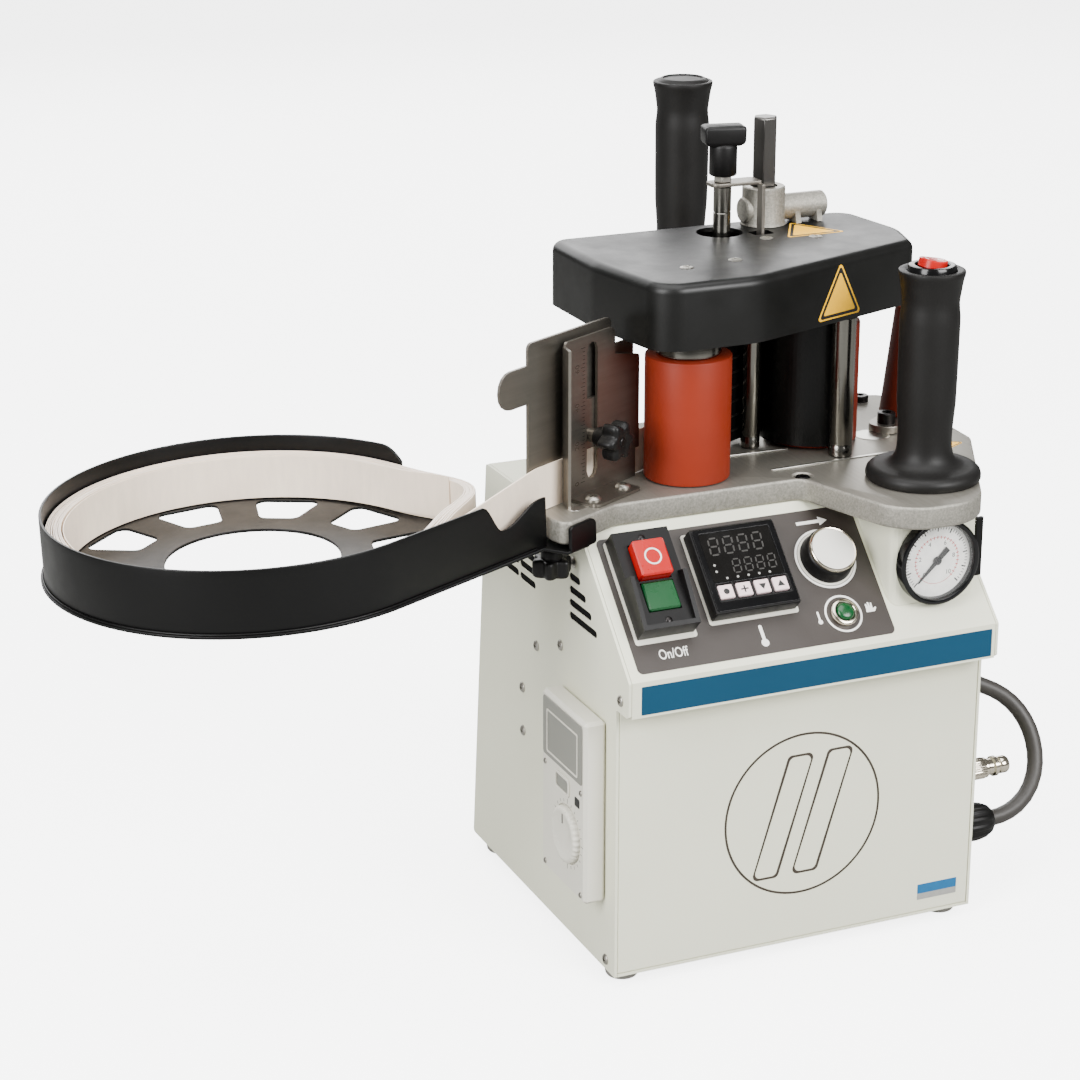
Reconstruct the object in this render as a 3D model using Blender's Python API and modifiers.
"""A bench-top edge banding machine: sheet metal housing, cast head plate, rollers, guides, tape tray, controls.

Sizes are in millimetres and become metres through MM. Machine frame: X right, Y back, Z up, with its origin
at the foot of the front panel's centre line. The last step moves the whole machine so that the middle of its
footprint is at the world's origin and its feet stand at height zero.
"""

import math

import bmesh
import bpy
from mathutils import Matrix, Vector
from mathutils.geometry import interpolate_bezier

MM = 0.001
GAP = 0.3  # clearance between touching pieces

# Housing
HALF_WIDTH = 105.7
SHEET = 1.5
DEPTH = 193.0
TOP_DEPTH = 169.5
TOP = 228.0
LIP_OUT = 14.3
LIP_LOW = 149.0
LIP_HIGH = 168.0
SLOPE_BACK = 46.0
FOOT_HEIGHT = 6.0
FOOT_RADIUS = 9.0
FOOT_SPOTS = ((-95, 14), (95, 14), (-95, 176), (95, 176))

# Head
PLATE_LOW = TOP + GAP
PLATE_HIGH = 240.0
COVER_LOW = 316.0
COVER_HIGH = 350.0
COVER_WALL = 2.0
BEARING_LOW = COVER_LOW + GAP
BEARING_HIGH = 323.0
POST_HIGH = COVER_LOW
FEED_ROLLER = (-31.9, 74.8)
PRESS_ROLLER = (59.5, 109.6)
GUARD_IN = 28.5  # the guard round the press roller
GUARD_OUT = 29.5
END_ROLLER = (123.0, 115.6)
END_PIVOT = (103.0, 103.0)
ROLLER_LOW = PLATE_HIGH + 0.5
ROLLER_HIGH = 305.7
FRONT_POST = (57.8, 73.2)
REAR_POST = (20.6, 104.9)
FRONT_HANDLE = (78.6, 22.8)
REAR_HANDLE = (58.5, 269.5)
REAR_HANDLE_LOW = 297.5
LIFT_ROD = (18.0, 138.0)
HEX_BAR = (49.0, 150.0)

# Controls, as (across, up the slope)
SWITCH = (-78.7, 49.5)
STOP_AT = (-78.7, 59.2)
START_AT = (-78.7, 39.9)
CONTROLLER = (-28.2, 49.5)
CONTROLLER_SIDE = 48.0
KEYS = {"mode_key": -43.0, "set_key": -32.8, "down_key": -22.6, "up_key": -12.4}
KEY_UP = 37.0
SPEED_KNOB = (21.8, 50.4)
FEED_BUTTON = (20.8, 18.9)
GAUGE = (72.8, 203.8)
GAUGE_FACE = -1.5  # depth of the gauge box's front
METER_DIAL = (32.0, 70.0)

# Tape path
GUIDE_START = (-105.3, 57.7)
GUIDE_ANGLE = math.radians(28.7)
TRAY_CENTRE = (-262.6, 90.3, 220.3)
TRAY_TILT = math.radians(1.7)
TRAY_RADIUS = 102.3
TRAY_HEIGHT = 33.2
TRAY_SHEET = 1.5
ARM_ANGLE = math.radians(24)
ARM_LENGTH = 104.0
TAPE_HEIGHT = 23.0
TAPE_THICK = 1.0
LIP_CORNER = (142.1, -63.4, 0.0)

# The machine's origin in the world: it puts the middle of the footprint at the world's origin
SHIFT = (111.15, -139.1, FOOT_HEIGHT)

# Mains lead
CABLE_RADIUS = 4.5
CABLE_PITCH = 9.2  # from one turn of the coil to the next
COIL_AT = (87.0, 262.0)
COIL_MEAN = 51.5
FLOOR = -FOOT_HEIGHT
GLAND = (30.0, 32.5)
COUPLING = (30.0, 64.0)
CLIP_AT = (112.8, 124.0, 111.0)
CABLE_KNOTS = (
    (136.3, 30, 32.5), (158, 30, 32.5), (174.5, 38.5, 46), (174.5, 50, 65), (174.5, 57.5, 77), (167.6, 64, 87.3),
    (155, 68, 93), (134, 74.5, 102.5), (112.8, 82, 111), (112.8, 118, 111), (112.8, 122, 111), (112.8, 126, 111),
    (112.8, 130, 111), (112.8, 190, 111), (147.4, 178, -1.35), (147.4, 244, -1.35),
)

PAINT = ("paint", (0.78, 0.79, 0.74), 0.45, 0.0)
BLACK = ("black", (0.03, 0.03, 0.032), 0.45, 0.0)
RUBBER = ("rubber", (0.05, 0.048, 0.045), 0.7, 0.0)
STEEL = ("steel", (0.55, 0.54, 0.52), 0.3, 1.0)
CAST = ("cast_aluminium", (0.62, 0.61, 0.58), 0.5, 1.0)
SILICONE = ("silicone", (0.62, 0.12, 0.04), 0.6, 0.0)
RED = ("red", (0.72, 0.05, 0.04), 0.35, 0.0)
GREEN = ("green", (0.02, 0.35, 0.12), 0.35, 0.0)
PALE = ("pale_plastic", (0.72, 0.70, 0.64), 0.5, 0.0)
PINK = ("key_plastic", (0.75, 0.6, 0.62), 0.5, 0.0)
NICKEL = ("nickel", (0.75, 0.7, 0.62), 0.2, 1.0)
TAPE = ("tape", (0.8, 0.7, 0.64), 0.6, 0.0)
FOOT_GREY = ("foot_grey", (0.3, 0.3, 0.28), 0.7, 0.0)

AXIS_ACROSS = Matrix(((0, 0, 1), (1, 0, 0), (0, 1, 0)))  # local Z along X, local X along Y
AXIS_FRONT = Matrix(((1, 0, 0), (0, 0, -1), (0, 1, 0)))  # local Z towards the front
AXIS_LEFT = Matrix(((0, 0, -1), (-1, 0, 0), (0, 1, 0)))  # local Z towards the left
UPRIGHT = Matrix.Identity(3)


# ---------------------------------------------------------------- tools

def clear_scene():
    for thing in list(bpy.data.objects):
        bpy.data.objects.remove(thing)


def new_collection(name):
    made = bpy.data.collections.new(name)
    bpy.context.scene.collection.children.link(made)
    return made


def material(kind):
    name, colour, roughness, metallic = kind
    made = bpy.data.materials.get(name)
    if made is None:
        made = bpy.data.materials.new(name)
        made.use_nodes = True
        shader = made.node_tree.nodes["Principled BSDF"]
        shader.inputs["Base Color"].default_value = (*colour, 1)
        shader.inputs["Roughness"].default_value = roughness
        shader.inputs["Metallic"].default_value = metallic
    return made


def frame(name, at, turn, parent=None):
    """An empty that holds a local frame."""
    made = bpy.data.objects.new(name, None)
    parts.objects.link(made)
    made.parent = parent
    made.matrix_local = Matrix.Translation(Vector(at) * MM) @ turn.to_4x4()
    return made


def place(name, data, kind, at, turn, parent):
    made = bpy.data.objects.new(name, data)
    parts.objects.link(made)
    made.parent = parent if parent else machine
    made.matrix_local = Matrix.Translation(Vector(at) * MM) @ turn.to_4x4()
    data.materials.append(material(kind))
    return made


def mesh_object(name, bm, kind, at=(0, 0, 0), turn=UPRIGHT, parent=None):
    bm.transform(Matrix.Scale(MM, 4))
    data = bpy.data.meshes.new(name)
    bm.to_mesh(data)
    bm.free()
    return place(name, data, kind, at, turn, parent)


def soften(obj, width, segments=1, angle=40):
    """Rounds the sharp edges."""
    bevel = obj.modifiers.new("edges", "BEVEL")
    bevel.width = width * MM
    bevel.segments = segments
    bevel.limit_method = "ANGLE"
    bevel.angle_limit = math.radians(angle)


def block(name, low, high, kind, at=(0, 0, 0), turn=UPRIGHT, parent=None, edge=0):
    bm = bmesh.new()
    bmesh.ops.create_cube(bm, size=1)
    low, high = Vector(low), Vector(high)
    size = Matrix.Diagonal((*(high - low), 1))
    bm.transform(Matrix.Translation((low + high) / 2) @ size)
    made = mesh_object(name, bm, kind, at, turn, parent)
    if edge:
        soften(made, edge)
    return made


def rod(name, radius, low, high, kind, at=(0, 0, 0), turn=UPRIGHT, parent=None, sides=24, top=None):
    """A round bar along local Z, or a cone when top differs from radius."""
    bm = bmesh.new()
    bmesh.ops.create_cone(
        bm, cap_ends=True, segments=sides, depth=high - low,
        radius1=radius, radius2=radius if top is None else top,
    )
    bm.transform(Matrix.Translation((0, 0, (low + high) / 2)))
    return mesh_object(name, bm, kind, at, turn, parent)


def turned(name, profile, kind, at=(0, 0, 0), turn=UPRIGHT, parent=None, sides=24, ring=False):
    """A solid of revolution about local Z. The profile of (radius, height) runs down the outer side."""
    bm = bmesh.new()
    points = [bm.verts.new((radius, 0, height)) for radius, height in profile]
    for first, second in zip(points, points[1:]):
        bm.edges.new((first, second))
    if ring:
        bm.edges.new((points[-1], points[0]))
    made = mesh_object(name, bm, kind, at, turn, parent)
    screw = made.modifiers.new("turned", "SCREW")
    screw.steps = sides
    screw.render_steps = sides
    screw.use_merge_vertices = True
    screw.merge_threshold = 0.00001
    return made


def rounded(corners, inset=0, step=24):
    """The outline of a polygon of (x, y, radius) corners, counter-clockwise, moved inwards by inset."""
    count = len(corners)
    spots = [Vector(corner[:2]) for corner in corners]
    outline = []
    for i, (_, _, radius) in enumerate(corners):
        before = (spots[i] - spots[i - 1]).normalized()
        after = (spots[(i + 1) % count] - spots[i]).normalized()
        turn = math.atan2(before.cross(after), before.dot(after))
        inward = Vector((-before.y, before.x)) + Vector((-after.y, after.x))
        corner = spots[i] + inward * (inset / (1 + math.cos(turn)))
        bend = max(radius - inset if turn > 0 else radius + inset, 0)
        reach = bend * math.tan(abs(turn) / 2)
        side = 1 if turn > 0 else -1
        centre = corner - before * reach + Vector((-before.y, before.x)) * bend * side
        first = corner - before * reach - centre
        steps = max(1, round(math.degrees(abs(turn)) / step)) if bend else 0
        for k in range(steps + 1):
            outline.append(centre + Matrix.Rotation(turn * k / max(steps, 1), 2) @ first)
    return [(point.x, point.y) for point in outline]


def circle(x, y, radius, sides=24):
    return [
        (x + radius * math.cos(math.tau * k / sides), y + radius * math.sin(math.tau * k / sides))
        for k in range(sides)
    ]


def slot(x0, y0, x1, y1, width):
    """A straight slot with round ends."""
    along = Vector((x1 - x0, y1 - y0)).normalized() * width / 2
    out = []
    for (x, y), start in (((x1, y1), -90), ((x0, y0), 90)):
        for k in range(5):
            out.append(Vector((x, y)) + Matrix.Rotation(math.radians(start + 45 * k), 2) @ along)
    return [(point.x, point.y) for point in out]


def sheet_outline(path, thickness):
    """The closed outline of a folded sheet: the path is its left-hand face, going along it."""
    spots = [Vector(point) for point in path]
    far = []
    for i, spot in enumerate(spots):
        before = (spots[i] - spots[i - 1]).normalized() if i else None
        after = (spots[i + 1] - spots[i]).normalized() if i + 1 < len(spots) else None
        first = before or after
        second = after or before
        right = Vector((first.y, -first.x)) + Vector((second.y, -second.x))
        far.append(spot + right * thickness / (1 + first.dot(second)))
    return [tuple(point) for point in reversed(spots)] + [tuple(point) for point in far]


def flat(name, outlines, low, high, kind, at=(0, 0, 0), turn=UPRIGHT, parent=None):
    """A flat piece from local height low to high: the first outline is its edge, the others are holes."""
    data = bpy.data.curves.new(name, "CURVE")
    data.dimensions = "2D"
    data.fill_mode = "BOTH"
    data.extrude = (high - low) / 2 * MM
    for outline in outlines:
        spline = data.splines.new("POLY")
        spline.points.add(len(outline) - 1)
        for point, (x, y) in zip(spline.points, outline):
            point.co = (x * MM, y * MM, 0, 1)
        spline.use_cyclic_u = True
    middle = Vector(at) + turn @ Vector((0, 0, (low + high) / 2))
    return place(name, data, kind, middle, turn, parent)


def as_mesh(obj):
    """The same piece as a mesh, so that it can be cut or joined."""
    bpy.context.view_layer.update()
    evaluated = obj.evaluated_get(bpy.context.evaluated_depsgraph_get())
    data = bpy.data.meshes.new_from_object(evaluated)
    bm = bmesh.new()
    bm.from_mesh(data)
    bmesh.ops.remove_doubles(bm, verts=bm.verts, dist=0.00001)
    bm.to_mesh(data)
    bm.free()
    name, parent, where = obj.name, obj.parent, obj.matrix_world.copy()
    bpy.data.objects.remove(obj)
    made = bpy.data.objects.new(name, data)
    parts.objects.link(made)
    made.parent = parent
    made.matrix_world = where
    return made


def helper(obj):
    """Turns a piece into a cutter or a shape that is joined to another piece."""
    if obj.type != "MESH":
        obj = as_mesh(obj)
    parts.objects.unlink(obj)
    cutters.objects.link(obj)
    obj.name = "shape_" + obj.name
    obj.hide_render = True
    obj.display_type = "WIRE"
    return obj


def combine(obj, other, operation):
    change = obj.modifiers.new(operation.lower(), "BOOLEAN")
    change.operation = operation
    change.solver = "EXACT"
    change.object = helper(other)
    return obj


def cut(obj, *others):
    for other in others:
        combine(obj, other, "DIFFERENCE")
    return obj


def join(obj, *others):
    for other in others:
        combine(obj, other, "UNION")
    return obj


# ---------------------------------------------------------------- housing

def side_outline():
    return rounded([
        (0, 0, 0), (DEPTH, 0, 2), (TOP_DEPTH, TOP, 2), (SLOPE_BACK, TOP, 2),
        (-LIP_OUT, LIP_HIGH, 1.5), (-LIP_OUT, LIP_LOW + 1.5, 0), (-LIP_OUT + 2, LIP_LOW, 0), (0, LIP_LOW, 0),
    ])


def louvres():
    """Cooling slots: a front group that steps with the slope and two columns at the back."""
    rows = [180.1 + 7.05 * k for k in range(4)]
    ends = [23.7, 30.5, 37.5, 44.5]
    slots = [slot(end + 2, z, 55.9, z, 4) for z, end in zip(rows, ends)]
    for first, last in ((103.5, 120.5), (126, 142)):
        slots += [slot(first, z, last, z, 4) for z in rows]
    return slots


def make_housing():
    inner = HALF_WIDTH - SHEET - GAP
    holes = louvres()
    flat("left_panel", [side_outline()] + holes, -HALF_WIDTH, -HALF_WIDTH + SHEET, PAINT, turn=AXIS_ACROSS)
    flat("right_panel", [side_outline()] + holes, HALF_WIDTH - SHEET, HALF_WIDTH, PAINT, turn=AXIS_ACROSS)
    block("base_pan", (-inner, 0, 0), (inner, DEPTH - 2, SHEET), PAINT)
    block("front_panel", (-inner, 0, SHEET + GAP), (inner, SHEET, LIP_LOW - GAP), PAINT, edge=0.5)
    make_rear_panel(inner)
    fold = [
        (TOP_DEPTH - 2, TOP), (SLOPE_BACK, TOP), (-LIP_OUT, LIP_HIGH), (-LIP_OUT, LIP_LOW), (1, LIP_LOW),
    ]
    panel = flat("control_panel", [sheet_outline(fold, -SHEET)], -inner, inner, PAINT, turn=AXIS_ACROSS)
    shaft_hole = rod("shaft_hole", 8, TOP - 6, TOP + 6, PAINT, at=(*FEED_ROLLER, 0))
    cut(as_mesh(panel), shaft_hole)
    for number, (x, y) in enumerate(FOOT_SPOTS, 1):
        turned(f"foot_{number}", [
            (0, -GAP), (FOOT_RADIUS, -GAP), (FOOT_RADIUS, -3), (FOOT_RADIUS - 1.5, FLOOR), (0, FLOOR),
        ], FOOT_GREY, at=(x, y, 0), sides=20)


def make_rear_panel(inner):
    lean = Vector((TOP_DEPTH - DEPTH, TOP))
    length = lean.length
    turn = Matrix.Rotation(math.atan2(TOP, TOP_DEPTH - DEPTH), 3, "X")
    edge = [(-inner, GAP), (inner, GAP), (inner, length - GAP), (-inner, length - GAP)]
    slots = [slot(-60, 150 + 9 * k, 60, 150 + 9 * k, 3) for k in range(5)]
    flat("rear_panel", [edge] + slots, 0, SHEET, PAINT, at=(0, DEPTH, 0), turn=turn)


def make_gauge_box():
    """A sheet box that stands on the slope and carries the pressure gauge."""
    left, right, back = 48.0, 98.5, 42.0
    corners = [(left, back, 0), (left, GAUGE_FACE, 5), (right, GAUGE_FACE, 5), (right, back, 0)]
    outlines = [rounded(corners), rounded(corners, inset=SHEET)]
    box = as_mesh(flat("gauge_box", outlines, LIP_HIGH, TOP - 0.1, PAINT))
    below = block("below_slope", (0, -30, -60), (120, 120, GAP), PAINT, parent=slope)
    gauge_hole = rod("gauge_hole", 18.3, -5, 5, PAINT, at=(GAUGE[0], GAUGE_FACE, GAUGE[1]), turn=AXIS_FRONT)
    cut(box, below, gauge_hole)


# ---------------------------------------------------------------- controls on the slope

def make_switch():
    across, up = SWITCH
    half, low, high = 15.5, up - 27.5, up + 27.5
    side = [(low, 0.5), (high, 0.5), (high, 10), (52, 10), (50, 16), (low, 12)]
    body = flat("switch_housing", [side], across - half, across + half, BLACK, turn=AXIS_ACROSS, parent=slope)
    body = as_mesh(body)
    channel = block("channel", (across - half + 2.3, low + 2.4, 10), (across + half - 2.3, 60, 20), BLACK, parent=slope)
    cut(body, channel)
    for name, (x, y), width, height, top, kind in (
        ("stop_button", STOP_AT, 17.4, 19.6, 16.0, RED),
        ("start_button", START_AT, 17.4, 15.4, 11.5, GREEN),
    ):
        pocket = block(
            "pocket_" + name, (x - width / 2 - 0.4, y - height / 2 - 0.4, 1.8),
            (x + width / 2 + 0.4, y + height / 2 + 0.4, 20), BLACK, parent=slope,
        )
        cut(body, pocket)
        block(
            name, (-width / 2, -height / 2, 4.6), (width / 2, height / 2, top), kind,
            at=(x, y, 0), parent=slope, edge=0.8,
        )


def make_controller():
    x, y = CONTROLLER
    half = CONTROLLER_SIDE / 2
    case = block(
        "controller_case", (x - half, y - half, 0.5), (x + half, y + half, 9), BLACK, parent=slope,
    )
    width, height = 8.0, 7.4
    for name, across in KEYS.items():
        pocket = block(
            "pocket_" + name, (across - width / 2 - 0.3, KEY_UP - height / 2 - 0.3, 5.4),
            (across + width / 2 + 0.3, KEY_UP + height / 2 + 0.3, 12), BLACK, parent=slope,
        )
        cut(case, pocket)
        block(
            name, (-width / 2, -height / 2, 6.6), (width / 2, height / 2, 9.6), PINK,
            at=(across, KEY_UP, 0), parent=slope, edge=0.4,
        )
    soften(case, 0.7)


def make_speed_knob():
    turned("speed_knob", [
        (0, 12), (12.8, 12), (13.9, 11), (14, 9), (14.4, 0.8), (0, 0.8),
    ], BLACK, at=(*SPEED_KNOB, 0), parent=slope, sides=32)


def make_feed_button():
    turned("feed_button_ring", [
        (5.1, 3.3), (6.4, 3.3), (7.3, 2.4), (7.3, 0.5), (5.1, 0.5),
    ], NICKEL, at=(*FEED_BUTTON, 0), parent=slope, ring=True)
    turned("feed_button", [
        (0, 4.5), (3.4, 4.3), (4.7, 3.7), (4.7, 2.2), (0, 2.2),
    ], GREEN, at=(*FEED_BUTTON, 0), parent=slope, sides=20)


def make_gauge():
    at = (GAUGE[0], GAUGE_FACE, GAUGE[1])
    turned("gauge_case", [
        (0, 2.2), (19.9, 2.2), (20.4, 6.6), (22.6, 6.8), (23.1, 5.8), (23.1, GAP), (18, GAP), (18, -3), (8, -3),
        (8, -11), (0, -11),
    ], BLACK, at=at, turn=AXIS_FRONT, sides=32)
    zero = Matrix.Rotation(math.radians(135), 3, "Z")
    hand = flat("gauge_needle", [[
        (-1.4, -8), (1.4, -8), (1.1, 0), (0.4, 15), (-0.4, 15), (-1.1, 0),
    ]], 3.2, 3.9, BLACK, at=at, turn=AXIS_FRONT @ zero)
    hub = rod("hub", 2.4, 2.6, 4.5, BLACK, at=at, turn=AXIS_FRONT, sides=16)
    join(as_mesh(hand), hub)


def make_side_meter():
    face = -118.0
    case = block("meter_case", (face, 10.8, 38.5), (-HALF_WIDTH - GAP, 65.2, 139), PALE, edge=1.8)
    recess = rod("dial_recess", 16.2, -6, 1.2, PALE, at=(face, *METER_DIAL), turn=AXIS_ACROSS, sides=32)
    cut(case, recess)
    turned("meter_dial", [
        (0, 3.4), (13.8, 3.4), (15.3, 2.2), (15.5, -0.9), (0, -0.9),
    ], PALE, at=(face, *METER_DIAL), turn=AXIS_LEFT, sides=32)


# ---------------------------------------------------------------- right side and mains lead

def make_air_coupling():
    turned("air_coupling", [
        (0, 18), (3, 18), (3, 38.5), (4.2, 38.5), (4.8, 37.4), (4.8, 33.6), (4, 33), (4, 32.2), (5.6, 31.4),
        (5.6, 29.4), (4.6, 28.6), (4.6, 26), (5.6, 25), (5.6, 9), (9, 9), (9, GAP), (0, GAP),
    ], NICKEL, at=(HALF_WIDTH, *COUPLING), turn=AXIS_ACROSS, sides=20)


def make_gland():
    turned("cable_gland", [
        (0, 20), (5, 20), (5, 30.2), (6.4, 30.2), (8.6, 28.6), (10, 25.5), (10.7, 20), (10.7, 9), (9.6, 8.6),
        (9.6, 6.6), (11.8, 6.2), (11.8, GAP), (0, GAP),
    ], BLACK, at=(HALF_WIDTH, *GLAND), turn=AXIS_ACROSS, sides=24)


def spaced(fine, spacing):
    """The points of a fine path that lie at least spacing apart, with both its ends."""
    kept = [fine[0]]
    for spot in fine[1:-1]:
        if (spot - kept[-1]).length >= spacing and (spot - fine[-1]).length > spacing / 2:
            kept.append(spot)
    return kept + [fine[-1]]


def cable_path(spacing):
    """The lead's centreline from the gland to the floor: Bezier bends of at least four diameters."""
    knots = [Vector(knot) for knot in CABLE_KNOTS]
    fine = knots[:1]
    for k in range(0, len(knots) - 1, 3):
        fine += interpolate_bezier(*knots[k:k + 4], 40)[1:]
    return spaced(fine, spacing)


def smooth_path(points, spacing):
    """Points every spacing along a Catmull-Rom curve through the route."""
    spots = [Vector(point) for point in points]
    spots = [2 * spots[0] - spots[1]] + spots + [2 * spots[-1] - spots[-2]]
    fine = []
    for a, b, c, d in zip(spots, spots[1:], spots[2:], spots[3:]):
        for k in range(12):
            t = k / 12
            fine.append(0.5 * (
                2 * b + (c - a) * t + (2 * a - 5 * b + 4 * c - d) * t ** 2 + (3 * b - a - 3 * c + d) * t ** 3
            ))
    fine.append(spots[-2])
    return spaced(fine, spacing)


def make_cable():
    """The lead up to the coil's rim."""
    data = bpy.data.curves.new("mains_cable", "CURVE")
    data.dimensions = "3D"
    data.bevel_depth = CABLE_RADIUS * MM
    data.bevel_resolution = 2
    data.use_fill_caps = True
    rim = COIL_MEAN + 1.5 * CABLE_PITCH + CABLE_RADIUS + GAP
    centre = Vector(COIL_AT)
    path = [spot for spot in cable_path(CABLE_RADIUS * 1.8) if (spot.xy - centre).length > rim]
    spline = data.splines.new("POLY")
    spline.points.add(len(path) - 1)
    for point, spot in zip(spline.points, path):
        point.co = (*(spot * MM), 1)
    place("mains_cable", data, RUBBER, (0, 0, 0), UPRIGHT, None)


def make_coil():
    inner = COIL_MEAN - 1.5 * CABLE_PITCH
    outer = COIL_MEAN + 1.5 * CABLE_PITCH
    low = FLOOR + 0.05
    high = low + 2 * CABLE_PITCH
    turned("cable_coil", [
        (inner + 3, high), (outer - 3, high), (outer, high - 3), (outer, low + 3), (outer - 3, low),
        (inner + 3, low), (inner, low + 3), (inner, high - 3),
    ], RUBBER, at=(*COIL_AT, 0), sides=28, ring=True)


def make_clip():
    """A P-clip: a strap round the lead, screwed to the right panel."""
    x, y, z = CLIP_AT
    wall = HALF_WIDTH + GAP
    ring_out, ring_in = 6.7, 5.15
    reach = wall + 1.6 - x
    top = math.sqrt(ring_out ** 2 - reach ** 2)
    start = math.degrees(math.atan2(top, reach))
    end = 180 + math.degrees(math.acos((x - wall) / ring_out)) if x - wall < ring_out else 180
    arc = [math.radians(start - (360 - (end - start)) * k / 20) for k in range(21)]
    outline = [(x + ring_out * math.cos(a), -z - ring_out * math.sin(a)) for a in arc]
    outline += [(wall, -z - 8), (wall, -z - 18), (wall + 1.6, -z - 18)]
    turn = Matrix(((1, 0, 0), (0, 0, 1), (0, -1, 0)))
    flat("cable_clip", [outline, circle(x, -z, ring_in)], y - 4.5, y + 4.5, STEEL, turn=turn)


def make_plug():
    """A two-pin earthed mains plug lying beside the coil, its tapered sleeve towards the lead."""
    at = (COIL_AT[0] - 44.5, COIL_AT[1] + COIL_MEAN + 3.1, FLOOR + 15.4)
    lying = Matrix.Rotation(math.radians(5), 3, "Y") @ AXIS_LEFT
    plug = turned("mains_plug", [
        (0, 58), (16.5, 58), (18.5, 55), (18.5, 38), (15, 33), (9.5, 28), (6.2, 2), (5.6, 0), (0, 0),
    ], BLACK, at=at, turn=lying, sides=24)
    for number, side in enumerate((-9.5, 9.5)):
        pin = rod(f"pin_{number}", 2.4, 52, 77, NICKEL, at=(at[0], at[1] + side, at[2]), turn=lying, sides=12)
        join(plug, pin)


# ---------------------------------------------------------------- head

PLATE_CORNERS = (
    (-124.5, 38, 3), (-121, 27.5, 5), (-85, 46, 12), (20, 46, 8), (41.5, -22.3, 26), (87.4, -22.3, 30),
    (138.6, 73, 12), (140, 97, 30), (136.5, 164, 8), (122, 170, 8), (-50, 170, 6), (-62, 125, 8), (-124.5, 62, 4),
)
COVER_CORNERS = (
    (-72.5, 163.5, 10), (-72.5, 105, 40), (-62.5, 43.5, 17), (-8, 43.5, 40), (104, 83.3, 8), (112.5, 112, 30),
    (107, 163, 14),
)


def make_head_plate():
    shaft = circle(*FEED_ROLLER, 8)
    plate = flat("head_plate", [rounded(PLATE_CORNERS), shaft], PLATE_LOW, PLATE_HIGH, CAST)
    soften(as_mesh(plate), 0.8)


def make_cover():
    """A pressed shell over the roller bearings, open underneath."""
    cover = as_mesh(flat("top_cover", [rounded(COVER_CORNERS, step=16)], COVER_LOW - 5, COVER_HIGH, BLACK))
    soften(cover, 4.5, segments=3, angle=60)
    hollow = flat(
        "cover_hollow", [rounded(COVER_CORNERS, inset=COVER_WALL, step=16)],
        COVER_LOW - 9, COVER_HIGH - COVER_WALL, BLACK,
    )
    cut(cover, hollow)
    skirt = flat("cover_skirt", [rounded(COVER_CORNERS, inset=-3, step=16)], COVER_LOW - 8, COVER_LOW, BLACK)
    return cover, skirt


def bearing_holes():
    return [
        circle(*FEED_ROLLER, 5.3, 16), circle(*PRESS_ROLLER, 5.3, 16), circle(*LIFT_ROD, 5.1, 16),
    ]


def make_bearing_plate():
    outline = rounded(COVER_CORNERS, inset=COVER_WALL + 1)
    flat("bearing_plate", [outline] + bearing_holes(), BEARING_LOW, BEARING_HIGH, CAST)


def make_posts():
    rod("front_post", 6.35, PLATE_HIGH + GAP, POST_HIGH, STEEL, at=(*FRONT_POST, 0))
    rod("rear_post", 5.15, PLATE_HIGH + GAP, POST_HIGH, STEEL, at=(*REAR_POST, 0))


HANDLE_PROFILE = (
    (16.2, 110.3), (17.1, 109.4), (16.4, 106), (15.3, 98.7), (14.7, 93.5), (15.5, 85), (15.4, 72.7), (15.3, 57),
    (15.1, 41.5), (14, 26), (14.2, 16.5), (15.6, 11.5), (18.5, 8.6), (25, 7.2), (29, 5.6), (29.8, 3), (29, GAP),
)


def make_handles():
    grip = list(HANDLE_PROFILE)
    turned("front_handle", [
        (0, 108.5), (8.6, 108.5), (8.6, 112.4), (11.8, 112.4), (12.8, 110.3),
    ] + grip + [(0, GAP)], BLACK, at=(*FRONT_HANDLE, PLATE_HIGH), sides=28)
    turned("rear_handle", [
        (0, 112), (12, 112), (13.4, 110.3),
    ] + grip + [(0, GAP)], BLACK, at=(*REAR_HANDLE, REAR_HANDLE_LOW), sides=28)


def make_rocker():
    """The rocker's disc is tipped: its left side stands high until it is pressed."""
    at = (*FRONT_HANDLE, PLATE_HIGH + 112)
    tilt = Matrix.Rotation(math.radians(10), 3, "Y")
    rocker = rod("rocker_switch", 7.4, -0.6, 4.2, RED, at=at, turn=tilt, sides=24, top=7.0)
    soften(rocker, 0.6)


def make_rear_arm():
    """A cranked arm that hangs from the bearing plate and carries the rear handle behind the head."""
    x, y = REAR_HANDLE
    top = REAR_HANDLE_LOW
    side = [
        (138, 306.3), (225, 306.3), (230, top - 12), (y, top - 12), (y, top), (238.5, top), (234, 315.7), (138, 315.7),
    ]
    arm = as_mesh(flat("rear_arm", [side], x - 12.5, x + 12.5, CAST, turn=AXIS_ACROSS))
    seat = rod("seat", 31, top - 12, top, CAST, at=(x, y, 0), sides=36)
    join(arm, seat)


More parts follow.
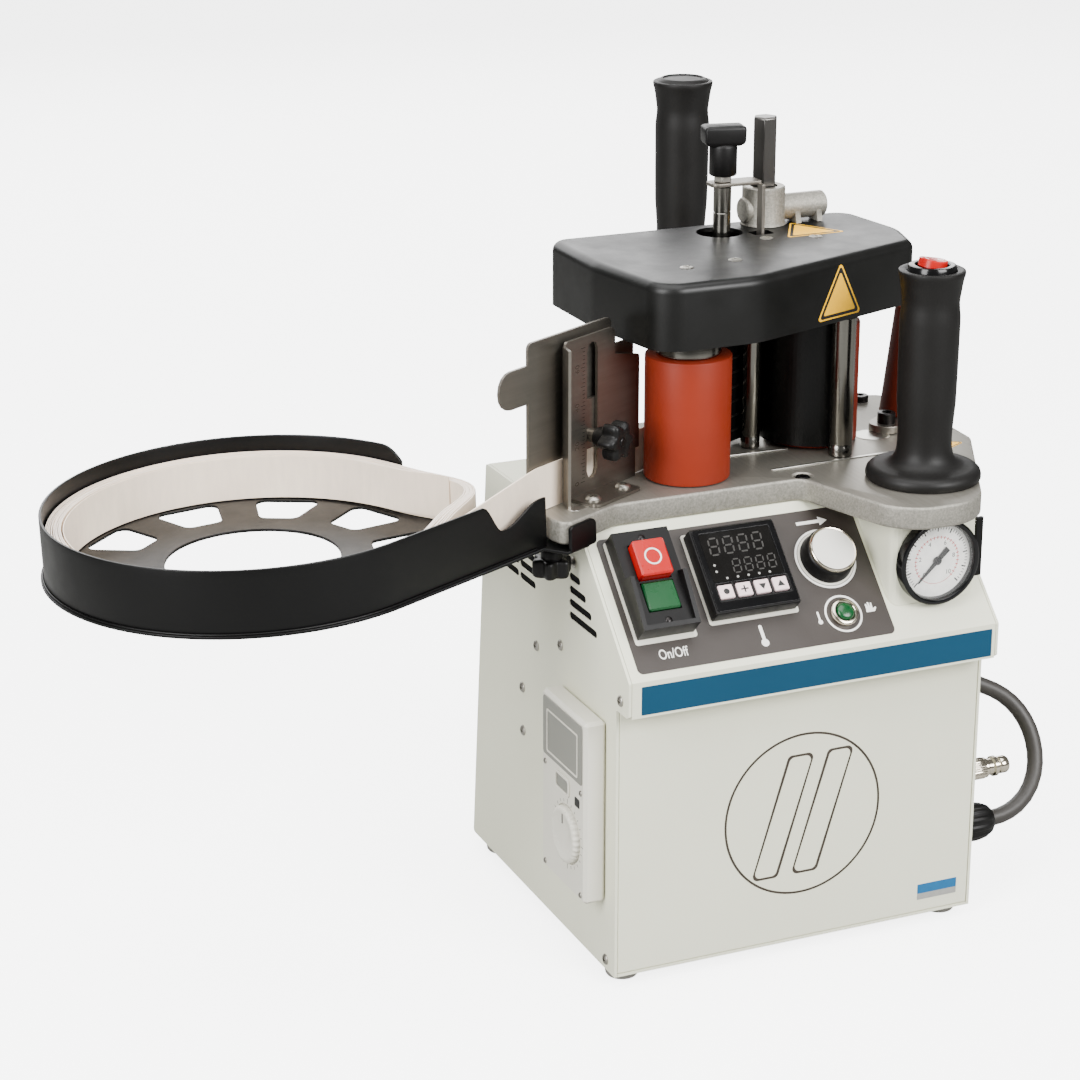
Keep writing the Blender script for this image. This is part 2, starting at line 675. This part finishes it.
def make_rollers():
    turned("feed_roller", [
        (14.2, ROLLER_HIGH), (22, ROLLER_HIGH), (22.4, ROLLER_HIGH - 0.5), (22.4, ROLLER_LOW), (14.2, ROLLER_LOW),
    ], SILICONE, at=(*FEED_ROLLER, 0), sides=36, ring=True)
    turned("feed_shaft", [
        (0, BEARING_HIGH), (5, BEARING_HIGH), (5, 314), (16.4, 314), (16.9, 313.5), (16.9, ROLLER_HIGH + GAP),
        (13.9, ROLLER_HIGH + GAP), (13.9, ROLLER_LOW), (6, ROLLER_LOW), (6, 200), (0, 200),
    ], STEEL, at=(*FEED_ROLLER, 0), sides=24)
    turned("press_roller", [
        (0, BEARING_HIGH), (5, BEARING_HIGH), (5, ROLLER_HIGH), (24.6, ROLLER_HIGH), (25, ROLLER_HIGH - 0.5),
        (25, ROLLER_LOW), (0, ROLLER_LOW),
    ], SILICONE, at=(*PRESS_ROLLER, 0), sides=36)
    turned("end_roller", [
        (4.3, 306), (8, 306), (8.4, 305.5), (15, 245), (4.3, 245),
    ], SILICONE, at=(*END_ROLLER, 0), sides=28, ring=True)


def make_end_arm():
    """A short steel arm that swings about its screw and carries the end roller on an axle."""
    px, py = END_PIVOT
    x, y = END_ROLLER[0] - px, END_ROLLER[1] - py
    arm = flat("end_roller_arm", [slot(0, 0, x, y, 19)], PLATE_HIGH + GAP, 244.5, STEEL, at=(px, py, 0))
    axle = rod("axle", 4, 244, 307, STEEL, at=(*END_ROLLER, 0), sides=16)
    screw = rod("screw", 5, 244, 250.5, STEEL, at=(px, py, 0), sides=20)
    join(as_mesh(arm), axle, screw)


def make_nozzle():
    """The hot air nozzle stands along the tape before the press roller, and its guard curves round that roller."""
    body = block("heater_nozzle", (108, -12, 243), (148, -0.5, 311), BLACK, parent=guide, edge=1)
    mouth = block("mouth", (114, -4, 247), (140, 3, 303), BLACK, parent=guide)
    web = block("web", (146, -11.7, 243), (152.6, -9.6, 311), BLACK, parent=guide)
    centre = Vector((*PRESS_ROLLER, 0)) - Vector((*GUIDE_START, 0))
    centre.rotate(Matrix.Rotation(-GUIDE_ANGLE, 3, "Z"))
    arc = [math.radians(121 + 4.2 * k) for k in range(30)]
    outline = [(GUARD_OUT * math.cos(a), GUARD_OUT * math.sin(a)) for a in arc]
    outline += [(GUARD_IN * math.cos(a), GUARD_IN * math.sin(a)) for a in reversed(arc)]
    guard = as_mesh(flat("guard", [outline], 243, 311, BLACK, at=centre, parent=guide))
    join(body, web, guard)
    cut(body, mouth)


def make_motor():
    x, y = FEED_ROLLER
    motor = block("drive_motor", (x - 30, y - 26, 176), (x + 30, y + 30, 222), CAST)
    can = rod("can", 26, 96, 178, STEEL, at=(x, y + 2, 0), sides=28)
    bore = rod("bore", 6.4, 196, 230, STEEL, at=(x, y, 0))
    join(motor, can)
    cut(motor, bore)


# ---------------------------------------------------------------- fittings on the cover

def make_lift():
    """A sliding rod through the cover with a bent strip, and a T-shaped knob on top."""
    x, y = LIFT_ROD
    rod("lift_rod", 4.75, 300, 375.6, STEEL, at=(x, y, 0))
    strip = block("lift_bracket", (x - 8, y - 6, 375.9), (x + 20.6, y + 6, 377.8), STEEL)
    leg = block("leg", (x + 18.6, y - 10, 334), (x + 20.6, y - 4, 377.8), STEEL)
    join(strip, leg)
    knob = rod("lift_knob", 7.6, 381.4, 399, BLACK, at=(x, y, 0), sides=24)
    grip = block("grip", (-11.2, -6.5, 397.5), (11.2, 6.5, 408), BLACK, at=(x, y, 0), edge=1.5)
    stem = rod("stem", 3, 378.1, 383, STEEL, at=(x, y, 0), sides=16)
    join(knob, grip, stem)


def make_clamp():
    x, y = HEX_BAR
    base = COVER_HIGH + GAP
    boss_z = base + 8
    body = rod("clamp_block", 11.6, base, 371, CAST, at=(x, y, 0))
    boss = rod("boss", 7, -13, 36, CAST, at=(x, y, boss_z), turn=AXIS_ACROSS, sides=20)
    join(body, boss)
    cut(body, rod("bore", 7.4, 340, 380, CAST, at=(x, y, 0)))
    for number, offset in enumerate((16, 29)):
        web = block(f"web_{number}", (offset, -8.5, base - boss_z), (offset + 3, 2, 4), CAST, at=(x, y, boss_z))
        join(body, web)
    rod("hex_bar", 6.9, 352, 408.5, STEEL, at=(x, y, 0), sides=6)


def cut_cover(cover, skirt):
    """The openings in the cover's top, and a straight lower edge."""
    eye = rod("eye", 12.5, COVER_HIGH - 8, COVER_HIGH + 8, BLACK, at=(18, 140.5, 0))
    leg_slot = block("leg_slot", (32, 126.5, COVER_HIGH - 8), (44, 135.5, COVER_HIGH + 8), BLACK)
    cut(cover, skirt, eye, leg_slot)


# ---------------------------------------------------------------- guides

def make_front_guide():
    """The slotted guide: an upright with a flared entry on the left and a foot screwed to the head plate."""
    high, low = 324.0, PLATE_HIGH + GAP
    upright = rounded([
        (-4, low, 0), (55, low, 0), (55, 255.4, 0), (58, 255.4, 0), (58, 305, 1.5), (37, 309.5, 1), (37, high, 4),
        (-4, high, 2),
    ])
    opening = slot(17.9, 252.9, 17.9, 315.6, 8.8)
    guide_plate = as_mesh(flat("front_guide", [upright, opening], -1.5, 0, STEEL, turn=AXIS_FRONT, parent=guide))
    corners = [(0, -17, 3), (38, -17, 3), (38, 1, 0), (0, 1, 0)]
    foot = flat("foot", [rounded(corners)], low, low + 1.5, STEEL, parent=guide)
    lean = Matrix.Rotation(math.radians(55), 3, "Z")
    flare = block("flare", (-9, 0, low), (0.5, 1.5, high - 2), STEEL, at=(-4, 0, 0), turn=lean, parent=guide)
    join(guide_plate, foot, flare)


def make_rear_guide():
    """The back guide, with a round ear on the left."""
    low = PLATE_HIGH + 1
    plate = rounded([
        (-29, low, 1), (58, low, 1), (58, 313, 2), (39, 313, 0), (39, 328, 4), (-29, 328, 3), (-29, 317, 0),
        (-51.5, 317, 9), (-51.5, 297.5, 9), (-29, 297.5, 0),
    ])
    flat("rear_guide", [plate], -5.5, -4, STEEL, turn=AXIS_FRONT, parent=guide)


def make_limiter():
    """The height stop rides in the slot and is clamped by the star knob."""
    stop = block("tape_limiter", (8, 1.8, 263.8), (28, 3.7, 290), STEEL, parent=guide)
    join(stop, rod("stud", 3.6, -2.5, 3, STEEL, at=(17.9, 0, 271), turn=AXIS_FRONT, parent=guide, sides=16))
    star_knob("guide_knob", (17.9, 0, 271), AXIS_FRONT, guide, 3.3, 20)


def star_knob(name, at, turn, parent, low, high):
    """A six-lobed clamping knob on a round hub along local Z."""
    lobes = []
    for k in range(36):
        angle = math.tau * k / 36
        radius = 9.0 + 1.6 * math.cos(6 * angle)
        lobes.append((radius * math.cos(angle), radius * math.sin(angle)))
    knob = as_mesh(flat(name, [lobes], 0, 9.5, BLACK, turn=turn, parent=parent))
    put_origin(knob, at, turn, high - 9.5)
    soften(knob, 0.8)
    hub = rod("hub_" + name, 5.6, low, high - 6, BLACK, at=at, turn=turn, parent=parent, sides=20)
    join(knob, hub)


def put_origin(obj, at, turn, rise):
    """Puts the origin on the joint axis: the shape is moved up inside its object."""
    obj.data.transform(Matrix.Translation((0, 0, rise * MM + 4.75 * MM)))
    obj.matrix_local = Matrix.Translation(Vector(at) * MM) @ turn.to_4x4()


# ---------------------------------------------------------------- tape tray

def arc(radius, first, last, step=6):
    """Points on a circle about the tray's middle, from one angle to another in degrees."""
    count = max(1, round(abs(last - first) / step))
    angles = [math.radians(first + (last - first) * k / count) for k in range(count + 1)]
    return [(radius * math.cos(a), radius * math.sin(a)) for a in angles]


def along_arm(distance, out):
    """A point at a distance along the arm from where it leaves the round wall, out from its centre line."""
    along = Vector((math.cos(ARM_ANGLE), math.sin(ARM_ANGLE)))
    normal = Vector((math.sin(ARM_ANGLE), -math.cos(ARM_ANGLE)))
    spot = normal * (TRAY_RADIUS + out) + along * distance
    return (spot.x, spot.y)


def tray_windows():
    """Ten windows with round corners between the hub ring and the wall."""
    windows = []
    for k in range(10):
        middle = 24 + 36 * k
        corners = [(61, middle - 9), (90, middle - 11.5), (90, middle + 11.5), (61, middle + 9)]
        spots = [(r * math.cos(math.radians(a)), r * math.sin(math.radians(a)), 4) for r, a in corners]
        windows.append(rounded(spots, step=45))
    return windows


def make_tray():
    """A round tray with a low wall, an arm towards the machine and a lip that hooks on the head plate."""
    arm_start = math.degrees(ARM_ANGLE) + 270
    floor = arc(TRAY_RADIUS + 1.6, 0, arm_start) + [along_arm(ARM_LENGTH - 4, 1.6)]
    floor += [along_arm(ARM_LENGTH - 1, 14.7), along_arm(ARM_LENGTH + 15, 14.7), (156, -30), (125, -26)]
    plate = flat("tape_tray", [floor, circle(0, 0, 43.5, 36)] + tray_windows(), 0, TRAY_SHEET, BLACK, parent=tray)
    body = as_mesh(plate)
    sheet = arc(TRAY_RADIUS, 22, arm_start) + [along_arm(ARM_LENGTH, 0), along_arm(ARM_LENGTH, -TRAY_SHEET)]
    sheet += arc(TRAY_RADIUS - TRAY_SHEET, arm_start, 22)
    wall = as_mesh(flat("wall", [sheet], 0.6, TRAY_HEIGHT, BLACK, parent=tray))
    notch_side = rounded([(60, 40, 0), (68, 20, 5), (78, 18, 8), (99, 27, 3), (110, 27, 0), (110, 40, 0)])
    upright = Matrix.Rotation(ARM_ANGLE, 3, "Z") @ AXIS_FRONT
    notch = flat("notch", [notch_side], -5, 8, BLACK, at=(*along_arm(0, 0), 0), turn=upright, parent=tray)
    cut(wall, notch)
    lip_turn = Matrix.Rotation(math.radians(27.2), 3, "Z")
    lip = block("lip", (1, -2, 0.4), (21, 0, 14), BLACK, at=LIP_CORNER, turn=lip_turn, parent=tray)
    join(body, wall, lip)


def make_tape():
    """The roll of tape in the tray, bulging where the wall is open, and its free end up to the feed roller."""
    outer, inner = [], []
    for k in range(60):
        angle = math.tau * k / 60
        swell = 16 * math.exp(-(math.remainder(angle + 0.12, math.tau) / 0.26) ** 2)
        outer.append(((100.3 + swell) * math.cos(angle), (100.3 + swell) * math.sin(angle)))
        inner.append(((91.2 + swell) * math.cos(angle), (91.2 + swell) * math.sin(angle)))
    low = TRAY_SHEET + GAP
    roll = as_mesh(flat("edge_tape", [outer, inner], low, low + TAPE_HEIGHT, TAPE, parent=tray))
    join(roll, tape_strip())


def tape_strip():
    """The free end: a ribbon that climbs from the tray to the head plate and runs between the guides."""
    leaving = math.radians(28.7 - 90)
    where = Matrix.Rotation(-TRAY_TILT, 3, "Y")
    low = TRAY_SHEET + GAP + 0.2
    start = Vector(TRAY_CENTRE) + where @ Vector((99.5 * math.cos(leaving), 99.5 * math.sin(leaving), low))
    rise = PLATE_HIGH + GAP
    path = [
        start, start.lerp(guide_point(-30, 3, rise), 0.5) - Vector((0, 0, 1)), guide_point(-30, 3, rise - 0.8),
        guide_point(-18, 3, rise), guide_point(0, 3, rise), guide_point(74, 3, rise),
    ]
    bm = bmesh.new()
    base = [bm.verts.new(spot) for spot in smooth_path(path, 10)]
    edges = [bm.edges.new(pair) for pair in zip(base, base[1:])]
    made = bmesh.ops.extrude_edge_only(bm, edges=edges)["geom"]
    raised = [item for item in made if isinstance(item, bmesh.types.BMVert)]
    bmesh.ops.translate(bm, verts=raised, vec=(0, 0, TAPE_HEIGHT))
    bmesh.ops.recalc_face_normals(bm, faces=bm.faces)
    strip = mesh_object("strip", bm, TAPE)
    thick = strip.modifiers.new("thickness", "SOLIDIFY")
    thick.thickness = TAPE_THICK * MM
    thick.offset = 0
    return as_mesh(strip)


def guide_point(along, back, height):
    local = Matrix.Rotation(GUIDE_ANGLE, 3, "Z") @ Vector((along, back, 0))
    return Vector((GUIDE_START[0] + local.x, GUIDE_START[1] + local.y, height))


def make_tray_knob():
    star_knob("tray_knob", (-119, 50, 223.9), Matrix.Rotation(math.pi, 3, "X"), None, 0, 18.4)


clear_scene()
parts = new_collection("edge_banding_machine")
cutters = new_collection("cutters")
cutters.hide_render = True
machine = bpy.data.objects.new("machine", None)
parts.objects.link(machine)
SLOPE_ANGLE = math.atan2(TOP - LIP_HIGH, SLOPE_BACK + LIP_OUT)
slope = frame("slope_frame", (0, -LIP_OUT, LIP_HIGH), Matrix.Rotation(SLOPE_ANGLE, 3, "X"), machine)
guide = frame("guide_frame", (*GUIDE_START, 0), Matrix.Rotation(GUIDE_ANGLE, 3, "Z"), machine)
tray = frame("tray_frame", TRAY_CENTRE, Matrix.Rotation(-TRAY_TILT, 3, "Y"), machine)

make_housing()
make_gauge_box()
make_switch()
make_controller()
make_speed_knob()
make_feed_button()
make_gauge()
make_side_meter()
make_air_coupling()
make_gland()
make_clip()
make_cable()
make_coil()
make_plug()
make_head_plate()
cover, skirt = make_cover()
cut_cover(cover, skirt)
make_bearing_plate()
make_posts()
make_handles()
make_rocker()
make_rear_arm()
make_rollers()
make_end_arm()
make_nozzle()
make_motor()
make_lift()
make_clamp()
make_front_guide()
make_rear_guide()
make_limiter()
make_tray()
make_tape()
make_tray_knob()
machine.location = Vector(SHIFT) * MM
